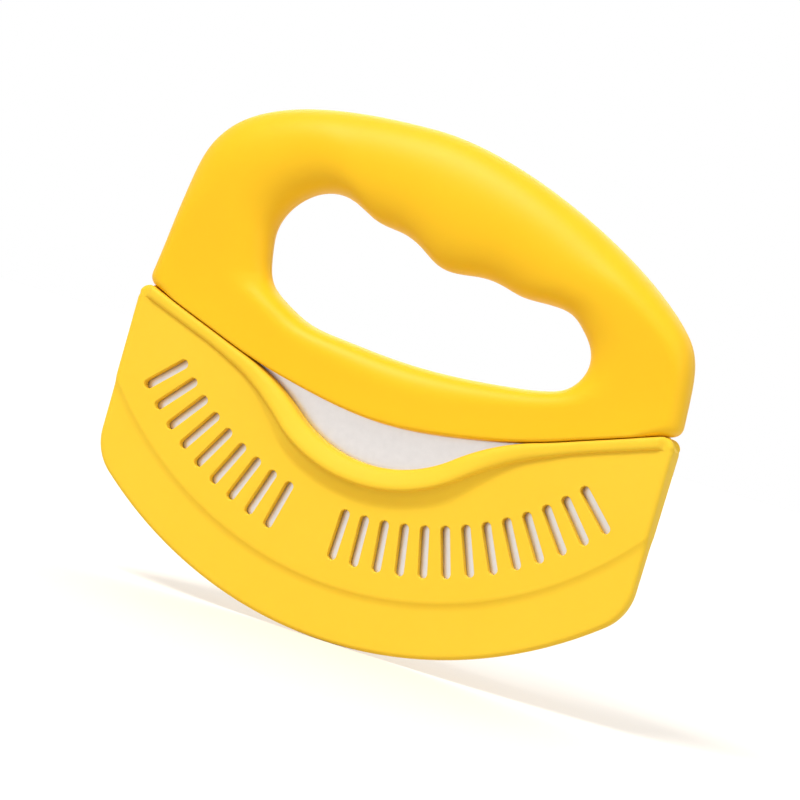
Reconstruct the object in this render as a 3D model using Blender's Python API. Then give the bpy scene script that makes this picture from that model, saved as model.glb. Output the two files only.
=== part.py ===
"""Rocker dough cutter: loop handle in two half shells, arc blade on four pins, and a slip-on blade sheath.

Metres, +Z up. The tool stands upright with the blade down, front towards -Y, and the width along X. The origin is
the lowest point of the sheath's arc, midway across the width and the thickness.
"""
import math

import bmesh
import bpy
import numpy as np
from mathutils import Matrix, Vector

MM = 0.001

# Overall width, shared by the handle and the sheath
HALF_WIDTH = 95.0 * MM

# The rim, pocket, blade edge and slots lie on arcs about one centre
RIM_RADIUS = 140.7 * MM
RIM_HEIGHT = 18.7 * MM

# The handle's foot is an arc, with a slight belly over the dip, that runs out into two straight lines
FOOT_RADIUS = 180.0 * MM
FOOT_Z = 73.9 * MM
FOOT_ARC_ANGLE = math.radians(19.0)
FOOT_BELLY = 1.05 * MM
BELLY_REACH = 36.0 * MM

# The thumb dip in the sheath's lip lies a little left of the middle
DIP_X = -1.3 * MM

# Handle silhouette
HANDLE_TOP = 169.0 * MM
CROWN_X = -12.0 * MM
SHOULDER_IN = 13.0 * MM
SHOULDER_DOWN = 18.0 * MM
SLOPE_IN = 8.0 * MM
SLOPE_DOWN = 41.0 * MM
LEFT_LEAN = math.radians(82.0)
SHOULDER_LEAN = math.radians(51.0)
SLOPE_LEAN = math.radians(-46.0)
RIGHT_LEAN = math.radians(-86.0)
FOOT_CORNER = 3.6 * MM
LEFT_INSET = 1.3 * MM

# Finger hole
LEFT_BAR = 38.6 * MM
RIGHT_BAR = 35.2 * MM
LOWER_BAR = 19.8 * MM
LEFT_END_RISE = 28.5 * MM
RIGHT_END_RISE = 15.5 * MM
HOLE_FLOOR_RADIUS = 235.0 * MM
HOLE_FLOOR_X = 4.0 * MM

# Depth of the grip below the handle's top line, as (share of the hole's length, depth)
GRIP_DEPTHS = (
    (0.10, 28.0 * MM),
    (0.16, 27.4 * MM),
    (0.23, 30.0 * MM),
    (0.29, 33.6 * MM),
    (0.37, 35.2 * MM),
    (0.44, 38.0 * MM),
    (0.505, 41.2 * MM),
    (0.57, 40.1 * MM),
    (0.64, 37.2 * MM),
    (0.70, 36.0 * MM),
    (0.755, 35.3 * MM),
    (0.81, 33.0 * MM),
    (0.865, 30.3 * MM),
    (0.915, 28.9 * MM),
)

# Handle section
GRIP_THICKNESS = 24.0 * MM
FOOT_THICKNESS = 13.8 * MM
THICKENING_HEIGHT = 62.0 * MM
FOOT_ROUND = 2.2 * MM
SIDE_ROUND = 6.0 * MM
HOLE_ROUND = 10.0 * MM
LEAST_ROUND = 0.8 * MM
SIDE_ROUND_START = 0.5 * MM
SIDE_ROUND_SPAN = 3.0 * MM
GRIP_ROUND_START = 40.0 * MM
GRIP_ROUND_SPAN = 40.0 * MM
HOLE_ROUND_SPAN = 30.0 * MM

# Powers of the section's superellipse quarters: 2 is round, higher is squarer
GRIP_POWER = 2.2
FOOT_POWER = 4.0

SHELL_WALL = 2.4 * MM
PARTING_GAP = 0.3 * MM

# How many stations to each side the hole's stations are evened out over
EVENING_SPAN = 5

# Blade
BLADE_THICKNESS = 1.2 * MM
BLADE_HALF_WIDTH = 90.0 * MM
EDGE_CLEARANCE = 1.5 * MM
TANG_HEIGHT = 14.0 * MM
GRIND_WIDTH = 5.0 * MM
EDGE_THICKNESS = 0.2 * MM
BLADE_CORNER = 4.0 * MM
BLADE_SLOT_CLEARANCE = 0.35 * MM

# Pins, bosses and pegs
PIN_RADIUS = 2.5 * MM
PIN_LENGTH = 9.6 * MM
PIN_CHAMFER = 0.4 * MM
PIN_CLEARANCE = 0.2 * MM
PIN_INSET = 18.0 * MM
INNER_PIN_X = 30.0 * MM
BOSS_RADIUS = 5.0 * MM
PEG_RADIUS = 2.0 * MM
PEG_REACH = 4.0 * MM
PEG_CLEARANCE = 0.25 * MM
SOCKET_RADIUS = 4.2 * MM
PEG_X = (-66.0 * MM, -26.0 * MM, 28.0 * MM, 68.0 * MM)
SHOULDER_PEG_DEPTH = 17.2 * MM

# Sheath
SHEATH_THICK_TOP = 10.9 * MM
SHEATH_THICK_LOW = 5.0 * MM
POCKET_CLEARANCE = 0.4 * MM
SHEATH_CORNER = 17.0 * MM
SHEATH_EDGE_ROUND = 1.4 * MM
LIP_GAP = 0.4 * MM
LIP_CORNER = 3.6 * MM
STEP_DROP = 0.8 * MM
STEP_SLOPE = 1.8 * MM
STEP_ABOVE_POCKET = 1.3 * MM
DIP_DEPTH = 14.5 * MM
DIP_RADIUS = 45.0 * MM
DIP_BLEND = 78.0 * MM

# The bead along the lip, flatter than a half round by the first factor
BEAD_ROUNDNESS = 0.75
BEAD_END_HEIGHT = 4.0 * MM
BEAD_DIP_HEIGHT = 7.2 * MM
BEAD_SINK = 0.3 * MM
BEAD_TOP_SINK = 0.05 * MM
BEAD_STOP = 2.6 * MM
BEAD_SWELL_START = 68.0 * MM
BEAD_SWELL_SPAN = 38.0 * MM

# In the dip the bead flares out of the face over a chamfer, which loses most of its height, and a rounded step
FLARE_PROUD = 2.6 * MM
FLARE_BOW = 1.5
CHAMFER_HEIGHT = 4.4 * MM
CHAMFER_FALL = 0.8
FLARE_HEIGHT = 6.4 * MM
FLARE_LEAST = 0.25
FLARE_START = 52.0 * MM
FLARE_SPAN = 28.0 * MM

# Drain slots, in two groups on one arc, given by the angle from straight down
SLOT_RADIUS = 106.4 * MM
SLOT_LENGTH = 17.0 * MM
SLOT_WIDTH = 3.2 * MM
SLOT_PITCH = math.radians(4.0)
SLOT_GROUPS = ((math.radians(-46.8), 9), (math.radians(-2.4), 13))

RIM_CENTRE_Z = RIM_RADIUS
FOOT_CENTRE_Z = FOOT_Z + FOOT_RADIUS
HOLE_LEFT = LEFT_BAR - HALF_WIDTH
HOLE_RIGHT = HALF_WIDTH - RIGHT_BAR
POCKET_RADIUS = RIM_RADIUS - RIM_HEIGHT
EDGE_RADIUS = POCKET_RADIUS - EDGE_CLEARANCE
STEP_RADIUS = POCKET_RADIUS + STEP_ABOVE_POCKET
LIP_RADIUS = FOOT_RADIUS + LIP_GAP
HANDLE_LEFT = LEFT_INSET - HALF_WIDTH
OUTER_PIN_X = BLADE_HALF_WIDTH - PIN_INSET
PIN_X = (-OUTER_PIN_X, -INNER_PIN_X, INNER_PIN_X, OUTER_PIN_X)


def polar(centre_z, radius, angle):
    """A point on an arc about (0, centre_z), with the angle taken from straight down towards +X."""
    return (radius * math.sin(angle), centre_z - radius * math.cos(angle))


def arc(centre_z, radius, start, end, count):
    """Points on an arc about (0, centre_z), both ends included."""
    return [polar(centre_z, radius, start + (end - start) * i / count) for i in range(count + 1)]


def arc_about(centre, radius, start, end, count):
    """Points on an arc about any centre, with plain angles from +X."""
    turn = [start + (end - start) * i / count for i in range(count + 1)]
    return [(centre[0] + radius * math.cos(a), centre[1] + radius * math.sin(a)) for a in turn]


def bezier(start, start_angle, start_pull, end, end_angle, end_pull, count):
    """A cubic from one tangent to another, without its last point."""
    p0 = np.array(start)
    p3 = np.array(end)
    p1 = p0 + start_pull * np.array((math.cos(start_angle), math.sin(start_angle)))
    p2 = p3 - end_pull * np.array((math.cos(end_angle), math.sin(end_angle)))
    t = (np.arange(count) / count)[:, None]
    curve = (1 - t) ** 3 * p0 + 3 * (1 - t) ** 2 * t * p1 + 3 * (1 - t) * t * t * p2 + t ** 3 * p3
    return [tuple(p) for p in curve]


def closed_spline(points, per_span):
    """A smooth closed curve through all the points (periodic cubic spline, chord-length steps)."""
    p = np.array(points)
    step = np.linalg.norm(np.roll(p, -1, axis=0) - p, axis=1)
    count = len(p)
    system = np.zeros((count, count))
    right = np.zeros((count, 2))
    for i in range(count):
        before, after = step[i - 1], step[i]
        system[i, i - 1] = after
        system[i, i] = 2 * (before + after)
        system[i, (i + 1) % count] = before
        rise = (p[(i + 1) % count] - p[i]) / after * before + (p[i] - p[i - 1]) / before * after
        right[i] = 3 * rise
    slope = np.linalg.solve(system, right)
    curve = []
    for i in range(count):
        j = (i + 1) % count
        for t in np.arange(per_span) / per_span:
            a = 2 * t ** 3 - 3 * t * t + 1
            b = t ** 3 - 2 * t * t + t
            c = 3 * t * t - 2 * t ** 3
            d = t ** 3 - t * t
            curve.append(tuple(a * p[i] + b * step[i] * slope[i] + c * p[j] + d * step[i] * slope[j]))
    return curve


def fillet(before, corner, after, radius, count):
    """Points that round a corner between two straight neighbours."""
    c = Vector(corner)
    u = (Vector(before) - c).normalized()
    v = (Vector(after) - c).normalized()
    half = u.angle(v) / 2
    centre = c + (u + v).normalized() * radius / math.sin(half)
    first = c + u * radius / math.tan(half) - centre
    last = c + v * radius / math.tan(half) - centre
    turn = first.angle_signed(last)
    points = []
    for i in range(count + 1):
        spoke = first.copy()
        spoke.rotate(Matrix.Rotation(-turn * i / count, 2))
        points.append(tuple(centre + spoke))
    return points


def smoothstep(value):
    value = min(max(value, 0.0), 1.0)
    return value * value * (3 - 2 * value)


def foot_z(x, below=0.0):
    """Height at x of a line that follows the handle's foot, a given distance below it."""
    radius = FOOT_RADIUS + below
    end_x, end_z = polar(FOOT_CENTRE_Z, radius, FOOT_ARC_ANGLE)
    if abs(x) > end_x:
        return end_z + (abs(x) - end_x) * math.tan(FOOT_ARC_ANGLE)
    belly = FOOT_BELLY * (1 - smoothstep(abs(x - DIP_X) / BELLY_REACH))
    return FOOT_CENTRE_Z - math.sqrt(radius ** 2 - x * x) - belly


def foot_line(below, start, end, count):
    """Points along the foot from one x to another, a given distance below it."""
    places = [start + (end - start) * i / count for i in range(count + 1)]
    return [(x, foot_z(x, below)) for x in places]


def top_line(fine):
    """The handle's silhouette over the top, from its left foot corner to its right one."""
    left = (HANDLE_LEFT, foot_z(HANDLE_LEFT))
    shoulder = (SHOULDER_IN - HALF_WIDTH, HANDLE_TOP - SHOULDER_DOWN)
    crown = (CROWN_X, HANDLE_TOP)
    slope = (HALF_WIDTH - SLOPE_IN, HANDLE_TOP - SLOPE_DOWN)
    right = (HALF_WIDTH, foot_z(HALF_WIDTH))
    rise = HANDLE_TOP - left[1]
    run = HALF_WIDTH
    line = bezier(left, LEFT_LEAN, 0.55 * rise, shoulder, SHOULDER_LEAN, 0.17 * rise, 8 * fine)
    line += bezier(shoulder, SHOULDER_LEAN, 0.18 * run, crown, 0.0, 0.33 * run, 10 * fine)
    line += bezier(crown, 0.0, 0.34 * run, slope, SLOPE_LEAN, 0.27 * run, 14 * fine)
    line += bezier(slope, SLOPE_LEAN, 0.13 * rise, right, RIGHT_LEAN, 0.25 * rise, 6 * fine)
    return line + [right]


def handle_outline(fine=1):
    """The handle's closed silhouette, clockwise from the left end of the foot, and where the foot begins."""
    top = top_line(fine)
    foot = foot_line(0.0, HALF_WIDTH, HANDLE_LEFT, 30 * fine)
    right = fillet(top[-2], top[-1], foot[1], FOOT_CORNER, 3 * fine)
    left = fillet(foot[-2], foot[-1], top[1], FOOT_CORNER, 3 * fine)
    reach = HALF_WIDTH - 2 * FOOT_CORNER
    foot = [p for p in foot if abs(p[0]) < reach]
    top = [p for p in top[1:-1] if p[1] > right[0][1] + 0.5 * FOOT_CORNER]
    return top + right + foot + left


def top_z(x, line):
    """Height of the silhouette's top line at x."""
    for (xa, za), (xb, zb) in zip(line, line[1:]):
        if xa <= x <= xb:
            return za + (zb - za) * (x - xa) / (xb - xa)
    return HANDLE_TOP


def hole_floor(x):
    """Height of the finger hole's lower edge at x."""
    drop = math.sqrt(HOLE_FLOOR_RADIUS ** 2 - (x - HOLE_FLOOR_X) ** 2)
    return FOOT_Z + LOWER_BAR + HOLE_FLOOR_RADIUS - drop


def hole_outline(per_span=6):
    """The finger hole's closed edge: grooves along the top, round ends and a shallow arc below."""
    line = top_line(4)
    length = HOLE_RIGHT - HOLE_LEFT
    grooves = []
    for share, depth in GRIP_DEPTHS:
        x = HOLE_LEFT + share * length
        grooves.append((x, top_z(x, line) - depth))
    floor = FOOT_Z + LOWER_BAR
    left_z = floor + LEFT_END_RISE
    right_z = floor + RIGHT_END_RISE
    right_end = [
        (HOLE_RIGHT - 0.045 * length, right_z + 0.68 * RIGHT_END_RISE),
        (HOLE_RIGHT - 0.011 * length, right_z + 0.36 * RIGHT_END_RISE),
        (HOLE_RIGHT, right_z),
        (HOLE_RIGHT - 0.010 * length, right_z - 0.27 * RIGHT_END_RISE),
        (HOLE_RIGHT - 0.037 * length, right_z - 0.53 * RIGHT_END_RISE),
    ]
    lower = []
    for share in (0.90, 0.80, 0.65, 0.45, 0.28, 0.18):
        x = HOLE_LEFT + share * length
        lower.append((x, hole_floor(x)))
    left_end = [
        (HOLE_LEFT + 0.095 * length, left_z - 0.73 * LEFT_END_RISE),
        (HOLE_LEFT + 0.036 * length, left_z - 0.55 * LEFT_END_RISE),
        (HOLE_LEFT + 0.007 * length, left_z - 0.22 * LEFT_END_RISE),
        (HOLE_LEFT, left_z),
        (HOLE_LEFT + 0.008 * length, left_z + 0.18 * LEFT_END_RISE),
        (HOLE_LEFT + 0.040 * length, left_z + 0.40 * LEFT_END_RISE),
    ]
    return closed_spline(grooves + right_end + lower + left_end, per_span)


def ray_hit(outline, centre, direction):
    """Where a ray from the centre meets a closed outline."""
    d = Vector(direction).normalized()
    across = Vector((-d.y, d.x))
    best = None
    for i, point in enumerate(outline):
        a = Vector(point) - centre
        b = Vector(outline[(i + 1) % len(outline)]) - centre
        side_a, side_b = a.dot(across), b.dot(across)
        if side_a * side_b > 0 or side_a == side_b:
            continue
        hit = a + (b - a) * side_a / (side_a - side_b)
        if hit.dot(d) > 0 and (best is None or hit.length < best.length):
            best = hit
    return centre + best


def handle_stations(fine=1):
    """Pairs of points round the loop: one on the hole's edge, one on the silhouette.

    Both are found by their angle about the hole's middle, in an ellipse's own terms, and the angles on the hole are
    evened out over their neighbours, so that the foot's corners don't bunch them.
    """
    outer = handle_outline(fine)
    hole = hole_outline(6 * fine)
    centre = Vector(((HOLE_LEFT + HOLE_RIGHT) / 2, FOOT_Z + LOWER_BAR + RIGHT_END_RISE))
    hole_half = Vector(((HOLE_RIGHT - HOLE_LEFT) / 2, (LEFT_END_RISE + RIGHT_END_RISE) / 2))
    outer_half = Vector((HALF_WIDTH, (HANDLE_TOP - FOOT_Z) / 2))
    count = len(outer)
    spokes = [Vector(point) - centre for point in outer]
    angles = np.unwrap([math.atan2(s.y / outer_half.y, s.x / outer_half.x) for s in spokes])
    even = angles[0] - 2 * math.pi * np.arange(count) / count
    reach = EVENING_SPAN * fine
    bend = np.mean([np.roll(angles - even, shift) for shift in range(-reach, reach + 1)], axis=0)
    pairs = []
    for point, angle in zip(outer, even + bend):
        aim = (math.cos(angle) * hole_half.x, math.sin(angle) * hole_half.y)
        pairs.append((ray_hit(hole, centre, aim), Vector(point)))
    return pairs


def half_thickness(x, z):
    """Half thickness of the handle before its edges are rounded."""
    rise = smoothstep((z - foot_z(x)) / THICKENING_HEIGHT)
    return (FOOT_THICKNESS + (GRIP_THICKNESS - FOOT_THICKNESS) * rise) / 2


def edge_rounding(inner, outer):
    """How far in the section is rounded at the hole and at the silhouette, and how square the outer round is."""
    length = (outer - inner).length
    grip = smoothstep((outer.y - FOOT_Z - GRIP_ROUND_START) / GRIP_ROUND_SPAN)
    side = smoothstep((outer.y - foot_z(outer.x) - SIDE_ROUND_START) / SIDE_ROUND_SPAN)
    side = max(side, smoothstep((abs(outer.x) - HALF_WIDTH + 4 * FOOT_CORNER) / (3 * FOOT_CORNER)))
    outer_round = FOOT_ROUND + (SIDE_ROUND - FOOT_ROUND) * side
    outer_round += (0.5 * length - outer_round) * grip
    hole_rise = smoothstep((inner.y - FOOT_Z - LOWER_BAR) / HOLE_ROUND_SPAN)
    hole_round = HOLE_ROUND + (0.5 * length - HOLE_ROUND) * hole_rise
    return hole_round, outer_round, FOOT_POWER + (GRIP_POWER - FOOT_POWER) * side


def section(inner, outer, wall, counts):
    """One section through the loop, as (x, y, z) rows from the hole to the silhouette, y being half thickness."""
    hole_round, outer_round, outer_power = edge_rounding(inner, outer)
    along = (outer - inner).normalized()
    length = (outer - inner).length
    hole_round = max(hole_round - wall, LEAST_ROUND)
    outer_round = max(outer_round - wall, LEAST_ROUND)
    first, flat, last = counts
    steps = []
    for i in range(first):
        turn = math.pi / 2 * i / first
        reach = hole_round * (1 - math.cos(turn) ** (2 / GRIP_POWER))
        steps.append((wall + reach, math.sin(turn) ** (2 / GRIP_POWER)))
    start = wall + hole_round
    end = length - wall - outer_round
    for i in range(flat + 1):
        steps.append((start + (end - start) * i / flat, 1.0))
    for i in range(1, last + 1):
        turn = math.pi / 2 * (1 - i / last)
        reach = outer_round * (1 - max(math.cos(turn), 0.0) ** (2 / outer_power))
        steps.append((length - wall - reach, math.sin(turn) ** (2 / outer_power)))
    rows = []
    for s, share in steps:
        place = inner + along * s
        half = (half_thickness(place.x, place.y) - wall) * share
        rows.append((place.x, max(half, PARTING_GAP / 2), place.y))
    return rows


def half_shell(side):
    """One half of the handle as a closed hollow shell, open at the parting plane. side is -1 in front, 1 behind."""
    mesh = bmesh.new()
    loops = []
    for inner, outer in handle_stations():
        outside = section(inner, outer, 0.0, (5, 2, 4))
        inside = section(inner, outer, SHELL_WALL, (3, 1, 2))
        rows = outside + inside[::-1]
        loops.append([mesh.verts.new((x, side * y, z)) for x, y, z in rows])
    count = len(loops[0])
    for i, loop in enumerate(loops):
        after = loops[(i + 1) % len(loops)]
        for k in range(count):
            j = (k + 1) % count
            mesh.faces.new((loop[k], loop[j], after[j], after[k]))
    bmesh.ops.recalc_face_normals(mesh, faces=mesh.faces)
    return mesh


def prism(outline, y_start, y_end):
    """A closed prism with its outline in the XZ plane."""
    mesh = bmesh.new()
    near = [mesh.verts.new((x, y_start, z)) for x, z in outline]
    far = [mesh.verts.new((x, y_end, z)) for x, z in outline]
    mesh.faces.new(near)
    mesh.faces.new(far[::-1])
    for i in range(len(outline)):
        j = (i + 1) % len(outline)
        mesh.faces.new((near[j], near[i], far[i], far[j]))
    bmesh.ops.recalc_face_normals(mesh, faces=mesh.faces)
    return mesh


def add_mesh(target, source):
    """Adds one bmesh to another as a body of its own."""
    scratch = bpy.data.meshes.new("scratch")
    source.to_mesh(scratch)
    source.free()
    target.from_mesh(scratch)
    bpy.data.meshes.remove(scratch)


def cylinders(places, radius, y_start, y_end, sides=20):
    """Closed cylinders along Y, all in one mesh."""
    mesh = bmesh.new()
    middle = (y_start + y_end) / 2
    for x, z in places:
        turn = Matrix.Translation((x, middle, z)) @ Matrix.Rotation(math.pi / 2, 4, "X")
        bmesh.ops.create_cone(
            mesh, cap_ends=True, segments=sides, radius1=radius, radius2=radius,
            depth=abs(y_end - y_start), matrix=turn,
        )
    return mesh


def paint(name, colour, roughness, metallic=0.0):
    material = bpy.data.materials.new(name)
    material.use_nodes = True
    shader = material.node_tree.nodes["Principled BSDF"]
    shader.inputs["Base Color"].default_value = (*colour, 1.0)
    shader.inputs["Roughness"].default_value = roughness
    shader.inputs["Metallic"].default_value = metallic
    return material


def place(name, mesh, material, sharp=math.radians(40)):
    """Puts a bmesh into the scene as a smooth-shaded object."""
    data = bpy.data.meshes.new(name)
    mesh.to_mesh(data)
    mesh.free()
    data.materials.append(material)
    data.shade_smooth()
    data.set_sharp_from_angle(angle=sharp)
    item = bpy.data.objects.new(name, data)
    bpy.context.scene.collection.objects.link(item)
    return item


def shape_with(item, mesh, operation, label):
    """Adds or cuts a shape with a Boolean, and hides the shape."""
    data = bpy.data.meshes.new(label)
    mesh.to_mesh(data)
    mesh.free()
    tool = bpy.data.objects.new(label, data)
    bpy.context.scene.collection.objects.link(tool)
    tool.hide_render = True
    tool.display_type = "WIRE"
    step = item.modifiers.new(label, "BOOLEAN")
    step.operation = operation
    step.object = tool
    step.solver = "EXACT"


def pin_places():
    """The pins lie along the middle of the tang."""
    return [(x, foot_z(x, -TANG_HEIGHT / 2)) for x in PIN_X]


def peg_places():
    """Two pegs lie on the grip's middle line, and one in each shoulder beside the finger hole."""
    line = top_line(4)
    hole = hole_outline()
    places = []
    for x in PEG_X:
        z = top_z(x, line) - SHOULDER_PEG_DEPTH
        if HOLE_LEFT < x < HOLE_RIGHT:
            ceiling = max(hz for hx, hz in hole if abs(hx - x) < SOCKET_RADIUS)
            z = (top_z(x, line) + ceiling) / 2
        places.append((x, z))
    return places


def foot_band(below, above, half_width):
    """A band along the handle's foot, from below it to above it."""
    return foot_line(below, -half_width, half_width, 24) + foot_line(-above, half_width, -half_width, 24)


def make_handle_half(name, side, material):
    """A half shell with its pin bosses, its pegs or sockets, and its share of the blade's slot."""
    item = place(name, half_shell(side), material)
    blade_face = BLADE_THICKNESS / 2 + BLADE_SLOT_CLEARANCE
    buried = SHELL_WALL / 2
    bosses = bmesh.new()
    for x, z in pin_places():
        back = half_thickness(x, z) - buried
        add_mesh(bosses, cylinders([(x, z)], BOSS_RADIUS, side * blade_face, side * back))
    for x, z in peg_places():
        back = half_thickness(x, z) - buried
        add_mesh(bosses, cylinders([(x, z)], SOCKET_RADIUS, side * PARTING_GAP / 2, side * back))
    shape_with(item, bosses, "UNION", name + "_bosses")
    if side > 0:
        pegs = cylinders(peg_places(), PEG_RADIUS, 2 * PARTING_GAP, -PEG_REACH)
        shape_with(item, pegs, "UNION", name + "_pegs")

    slot = foot_band(2 * FOOT_ROUND, TANG_HEIGHT + BLADE_SLOT_CLEARANCE, BLADE_HALF_WIDTH + BLADE_SLOT_CLEARANCE)
    shape_with(item, prism(slot, -blade_face, blade_face), "DIFFERENCE", name + "_blade_slot")

    pin_end = PIN_LENGTH / 2 + PIN_CLEARANCE
    bores = cylinders(pin_places(), PIN_RADIUS + PIN_CLEARANCE, -side * blade_face, side * pin_end)
    shape_with(item, bores, "DIFFERENCE", name + "_pin_bores")

    if side < 0:
        sockets = cylinders(peg_places(), PEG_RADIUS + PEG_CLEARANCE, PARTING_GAP, -PEG_REACH - PEG_CLEARANCE)
        shape_with(item, sockets, "DIFFERENCE", name + "_sockets")
    return item


def blade_outline(edge_radius, half_width, corner):
    """The blade's outline, clockwise, as the tang's top edge and the arc edge with its rounded corners."""
    edge_angle = math.asin(half_width / edge_radius)
    tang = foot_line(-TANG_HEIGHT, -half_width, half_width, 24)
    edge = arc(RIM_CENTRE_Z, edge_radius, edge_angle, -edge_angle, 36)
    right = fillet(tang[-1], edge[0], edge[1], corner, 4)
    left = fillet(edge[-2], edge[-1], tang[0], corner, 4)
    inside = [p for p in edge[1:-1] if abs(p[0]) < half_width - 1.2 * corner]
    return tang, right + inside + left


def make_blade(material):
    """A flat plate, ground on both sides along the arc edge, with a hole for each pin."""
    tang, edge = blade_outline(EDGE_RADIUS, BLADE_HALF_WIDTH, BLADE_CORNER)
    inset = []
    for x, z in edge:
        spoke = Vector((x, z - RIM_CENTRE_Z))
        shorter = spoke * (spoke.length - GRIND_WIDTH) / spoke.length
        inset.append((shorter.x, shorter.y + RIM_CENTRE_Z))
    inset[0] = (BLADE_HALF_WIDTH, edge[0][1] + GRIND_WIDTH)
    inset[-1] = (-BLADE_HALF_WIDTH, edge[-1][1] + GRIND_WIDTH)
    mesh = bmesh.new()
    faces = {}
    for side in (-1, 1):
        flat_y = side * BLADE_THICKNESS / 2
        edge_y = side * EDGE_THICKNESS / 2
        top = [mesh.verts.new((x, flat_y, z)) for x, z in tang]
        ridge = [mesh.verts.new((x, flat_y, z)) for x, z in inset]
        tip = [mesh.verts.new((x, edge_y, z)) for x, z in edge]
        mesh.faces.new(top + ridge)
        for i in range(len(tip) - 1):
            mesh.faces.new((ridge[i], ridge[i + 1], tip[i + 1], tip[i]))
        faces[side] = (top, ridge, tip)
    front, back = faces[-1], faces[1]
    ring_front = front[0] + [front[1][0]] + front[2] + [front[1][-1]]
    ring_back = back[0] + [back[1][0]] + back[2] + [back[1][-1]]
    for i in range(len(ring_front)):
        j = (i + 1) % len(ring_front)
        mesh.faces.new((ring_front[i], ring_front[j], ring_back[j], ring_back[i]))
    bmesh.ops.recalc_face_normals(mesh, faces=mesh.faces)
    item = place("blade", mesh, material)
    holes = cylinders(pin_places(), PIN_RADIUS + PIN_CLEARANCE, -2 * BLADE_THICKNESS, 2 * BLADE_THICKNESS)
    shape_with(item, holes, "DIFFERENCE", "blade_pin_holes")
    return item


def make_pin(name, x, z, material):
    """A steel dowel along Y with a small chamfer at each end."""
    mesh = cylinders([(x, z)], PIN_RADIUS, -PIN_LENGTH / 2, PIN_LENGTH / 2)
    ends = [e for e in mesh.edges if abs(e.verts[0].co.y - e.verts[1].co.y) < PIN_LENGTH / 2]
    bmesh.ops.bevel(mesh, geom=ends, offset=PIN_CHAMFER, segments=1, profile=0.5, affect="EDGES")
    return place(name, mesh, material)


def sheath_half(z):
    """Half thickness of the sheath at a height, tapering towards the rim."""
    top = foot_z(HALF_WIDTH)
    return (SHEATH_THICK_LOW + (SHEATH_THICK_TOP - SHEATH_THICK_LOW) * z / top) / 2


def both_halves(left, right):
    """A line from left to right, from two halves that are both drawn on the right."""
    return [(-x, z) for x, z in left[:0:-1]] + right


def lip_half(side):
    """The lip's edge from the middle of the dip out to one side, 1 for right and -1 for left, drawn on the right."""
    dip = Vector((side * DIP_X, FOOT_Z - LIP_GAP - DIP_DEPTH + DIP_RADIUS))
    reach = DIP_RADIUS + DIP_BLEND
    far = LIP_RADIUS + DIP_BLEND
    apart = Vector((0.0, FOOT_CENTRE_Z)) - dip
    up = apart.normalized()
    along = (reach ** 2 - far ** 2 + apart.length_squared) / (2 * apart.length)
    blend = dip + up * along + Vector((up.y, -up.x)) * math.sqrt(reach ** 2 - along ** 2)
    dip_angle = math.atan2(blend.x - dip.x, dip.y - blend.y)
    lip_angle = math.atan2(blend.x, FOOT_CENTRE_Z - blend.y)
    line = arc_about(dip, DIP_RADIUS, -math.pi / 2, dip_angle - math.pi / 2, 8)
    line += arc_about(blend, DIP_BLEND, math.pi / 2 + dip_angle, math.pi / 2 + lip_angle, 6)[1:]
    return line + foot_line(LIP_GAP, line[-1][0], HALF_WIDTH, 12)[1:]


def lip_line():
    return both_halves(lip_half(-1), lip_half(1))


def sheath_top():
    """The sheath's upper outline from left to right, with its corners rounded."""
    halves = []
    for side in (-1, 1):
        lip = lip_half(side)
        corner = fillet(lip[-2], lip[-1], (HALF_WIDTH, 0.0), LIP_CORNER, 4)
        halves.append([p for p in lip[:-1] if p[0] < corner[0][0] - 0.5 * MM] + corner)
    return both_halves(*halves)


def sheath_rim():
    """The sheath's lower outline from right to left."""
    inner_radius = RIM_RADIUS - SHEATH_CORNER
    corner_x = HALF_WIDTH - SHEATH_CORNER
    corner_z = RIM_CENTRE_Z - math.sqrt(inner_radius ** 2 - corner_x ** 2)
    rim_angle = math.asin(corner_x / inner_radius)
    half = arc(RIM_CENTRE_Z, RIM_RADIUS, 0.0, rim_angle, 16)
    half += arc_about((corner_x, corner_z), SHEATH_CORNER, rim_angle - math.pi / 2, 0.0, 7)[1:]
    return both_halves(half, half)[::-1]


def sheath_body():
    """The sheath's solid body: two tapered faces with a step near the rim, rounded all round."""
    step_high = STEP_RADIUS - STEP_SLOPE / 2
    step_low = STEP_RADIUS + STEP_SLOPE / 2
    high_angle = math.asin(HALF_WIDTH / step_high)
    low_angle = math.asin(HALF_WIDTH / step_low)
    high = arc(RIM_CENTRE_Z, step_high, high_angle, -high_angle, 32)
    low = arc(RIM_CENTRE_Z, step_low, low_angle, -low_angle, 32)
    upper_ring = sheath_top()
    rim_ring = sheath_rim()
    mesh = bmesh.new()
    rings = {}
    for side in (-1, 1):
        upper = [mesh.verts.new((x, side * sheath_half(z), z)) for x, z in upper_ring]
        ledge = [mesh.verts.new((x, side * sheath_half(z), z)) for x, z in high]
        foot = [mesh.verts.new((x, side * (sheath_half(z) - STEP_DROP), z)) for x, z in low]
        rim = [mesh.verts.new((x, side * (sheath_half(z) - STEP_DROP), z)) for x, z in rim_ring]
        mesh.faces.new(upper + ledge)
        for i in range(len(ledge) - 1):
            mesh.faces.new((ledge[i], ledge[i + 1], foot[i + 1], foot[i]))
        mesh.faces.new(foot[::-1] + rim)
        rings[side] = upper + [ledge[0], foot[0]] + rim + [foot[-1], ledge[-1]]
    around = []
    for i in range(len(rings[-1])):
        j = (i + 1) % len(rings[-1])
        face = mesh.faces.new((rings[-1][i], rings[-1][j], rings[1][j], rings[1][i]))
        around.append(face)
    bmesh.ops.recalc_face_normals(mesh, faces=mesh.faces)
    wall = set(around)
    rounded = [e for e in mesh.edges if sum(f in wall for f in e.link_faces) == 1]
    bmesh.ops.bevel(
        mesh, geom=rounded, offset=SHEATH_EDGE_ROUND, segments=2, profile=0.5, affect="EDGES",
    )
    return mesh


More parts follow.
